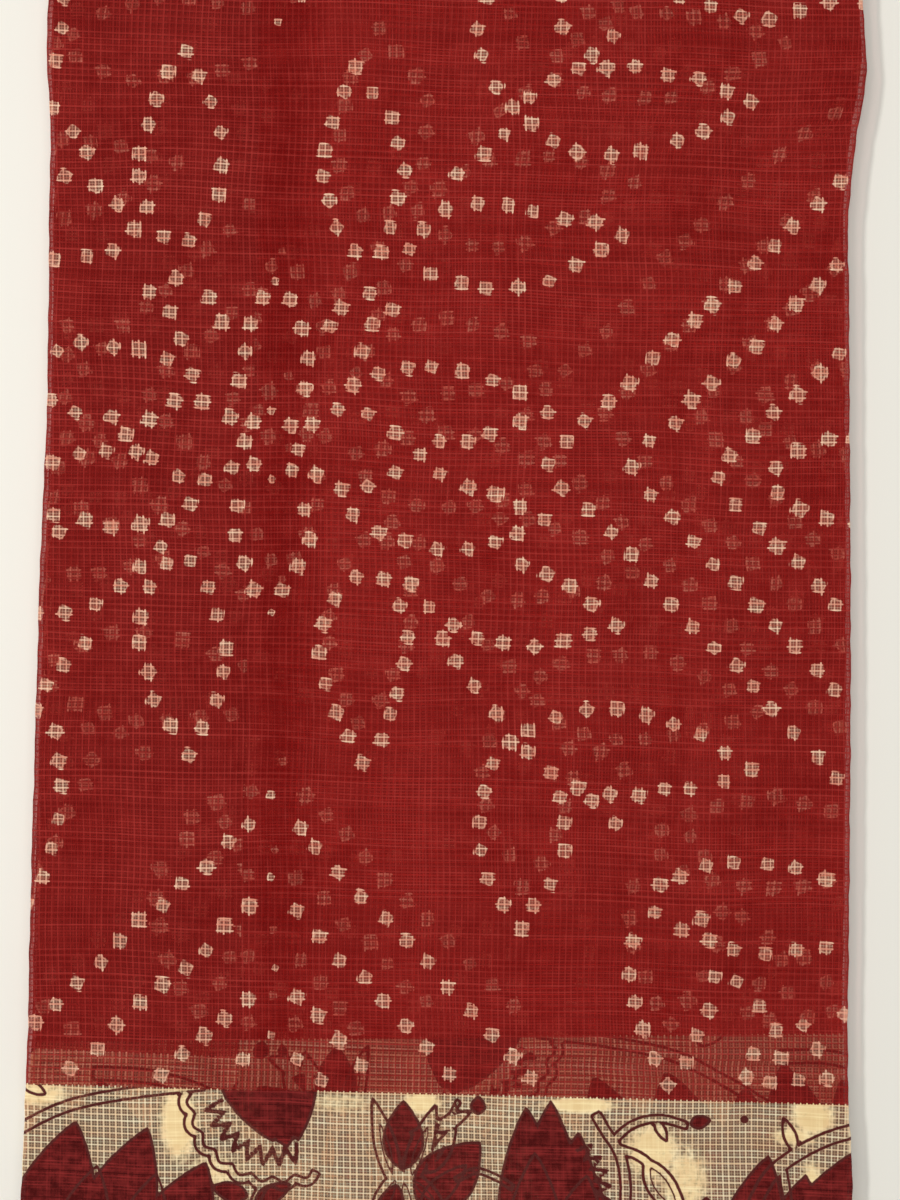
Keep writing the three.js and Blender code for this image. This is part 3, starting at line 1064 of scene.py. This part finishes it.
# The pieces of the cloth. step is the mesh's along the route and, up to the height called border, between
# its rows. body_step is between the other rows, which have every other column left out.
Piece = namedtuple("Piece", "name route step body_step border look")
PIECES = [
    Piece("sari_top_layer", TOP_ROUTE, 0.00175, 0.0046, 0.136, SHEER),
    Piece("sari_layers_under", UNDER_ROUTE, 0.0030, 0.0060, 0.162, COVERED),
    Piece("sari_layers_inside", INSIDE_ROUTE, 0.0050, 0.0100, 0.130, CLOSE),
    Piece("sari_base_layer", BASE_ROUTE, 0.00175, 0.0040, 0.118, SHEER),
]


def make_sari():
    dots = body_dots()
    looks = (SHEER, COVERED, CLOSE)
    materials = {look: [kota_doria(look, bordered) for bordered in (False, True)] for look in looks}
    for spec in PIECES:
        mesh, flats = cloth_mesh(spec)
        piece = bpy.data.objects.new(spec.name, mesh)
        bpy.context.collection.objects.link(piece)
        store_print(mesh, flats, dots)
        for material in materials[spec.look]:
            mesh.materials.append(material)
        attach(piece, BODY)
        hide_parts(NODE)


# ---------- camera, floor and light

VIEW_HEIGHT = 0.756  # how much of the top layer the picture shows, from lower to upper edge
VIEW_CENTRE = (0.0044, -0.154)
EYE_ABOVE = 0.75  # camera above the top layer
TOP_HEIGHT = THICKNESS / 2 + TOP * PITCH
BACKDROP = (1.0, 0.99, 0.97, 1.0)
SKY_LIGHT = 0.25
SKY_SEEN = 0.80  # how light the plain background looks
FLOOR_REACH = 4.0
FLOOR_HEIGHT = -0.0002
FLOOR_LOOK = {"Base Color": (0.858, 0.840, 0.772, 1.0), "Roughness": 0.6, "Specular IOR Level": 0.2}
FLOOR_FADE = (0.8, 2.0)  # how far from the middle the floor turns into the background
GAPS_SEEN_THROUGH = 12  # at most


def make_camera():
    data = bpy.data.cameras.new("camera")
    data.lens = data.sensor_width * EYE_ABOVE / VIEW_HEIGHT
    camera = bpy.data.objects.new("camera", data)
    camera.location = (*VIEW_CENTRE, TOP_HEIGHT + EYE_ABOVE)
    bpy.context.collection.objects.link(camera)
    bpy.context.scene.camera = camera


def background_seen(n):
    """1 for rays that show the background: those from the camera, or off and through shiny things."""
    path = n.add("ShaderNodeLightPath").outputs
    shiny = n.math("ADD", path["Is Glossy Ray"], path["Is Transmission Ray"])
    return n.math("ADD", path["Is Camera Ray"], shiny, clamp=True)


def pale_floor():
    """Pale near the sari. Further out it turns into the background, where a ray shows that."""
    material = bpy.data.materials.new("pale_floor")
    n = Nodes(material)
    floor = n.add("ShaderNodeBsdfPrincipled", FLOOR_LOOK)
    place = n.add("ShaderNodeNewGeometry").outputs["Position"]
    away = n.add("ShaderNodeVectorMath", {0: place}, operation="LENGTH").outputs["Value"]
    fade = n.math("MULTIPLY", n.ramp(away, *FLOOR_FADE), background_seen(n))
    backdrop = n.add("ShaderNodeEmission", {"Color": BACKDROP, "Strength": SKY_SEEN})
    surface = n.add("ShaderNodeMixShader", {0: fade, 1: floor.outputs[0], 2: backdrop.outputs[0]})
    n.finish(surface.outputs[0])
    return material


def make_floor():
    mesh = bpy.data.meshes.new("floor")
    corners = [(x * FLOOR_REACH, y * FLOOR_REACH, 0) for x, y in ((-1, -1), (1, -1), (1, 1), (-1, 1))]
    mesh.from_pydata(corners, [], [(0, 1, 2, 3)])
    mesh.materials.append(pale_floor())
    floor = bpy.data.objects.new("floor", mesh)
    floor.location.z = FLOOR_HEIGHT
    bpy.context.collection.objects.link(floor)


Lamp = namedtuple("Lamp", "name place aim size energy colour")
LAMPS = [
    Lamp("window", (-2.45, 0.25, 2.80), (0.0, -0.05, 0.0), (1.10, 0.30), 59.0, (1.0, 0.985, 0.96)),
    Lamp("ceiling", (-0.10, 0.05, 1.90), (-0.10, 0.05, 0.0), (2.20, 2.20), 23.5, (1.0, 0.99, 0.97)),
]


def make_sky():
    world = bpy.data.worlds.new("studio")
    bpy.context.scene.world = world
    n = Nodes(world)
    strength = n.ramp(background_seen(n), 0.0, 1.0, SKY_LIGHT, SKY_SEEN, soft=False)
    background = n.add("ShaderNodeBackground", {"Color": BACKDROP, "Strength": strength})
    n.finish(background.outputs[0], "ShaderNodeOutputWorld")


def make_lamps():
    for spec in LAMPS:
        light = bpy.data.lights.new(spec.name, "AREA")
        light.shape = "RECTANGLE"
        light.size, light.size_y = spec.size
        light.energy = spec.energy
        light.color = spec.colour
        lamp = bpy.data.objects.new(spec.name, light)
        lamp.location = spec.place
        aim = Vector(spec.aim) - Vector(spec.place)
        lamp.rotation_euler = aim.to_track_quat("-Z", "Y").to_euler()
        bpy.context.collection.objects.link(lamp)


make_camera()
make_floor()
make_sky()
make_lamps()
make_sari()

scene = bpy.context.scene
scene.view_settings.view_transform = "Standard"
scene.cycles.transparent_max_bounces = GAPS_SEEN_THROUGH
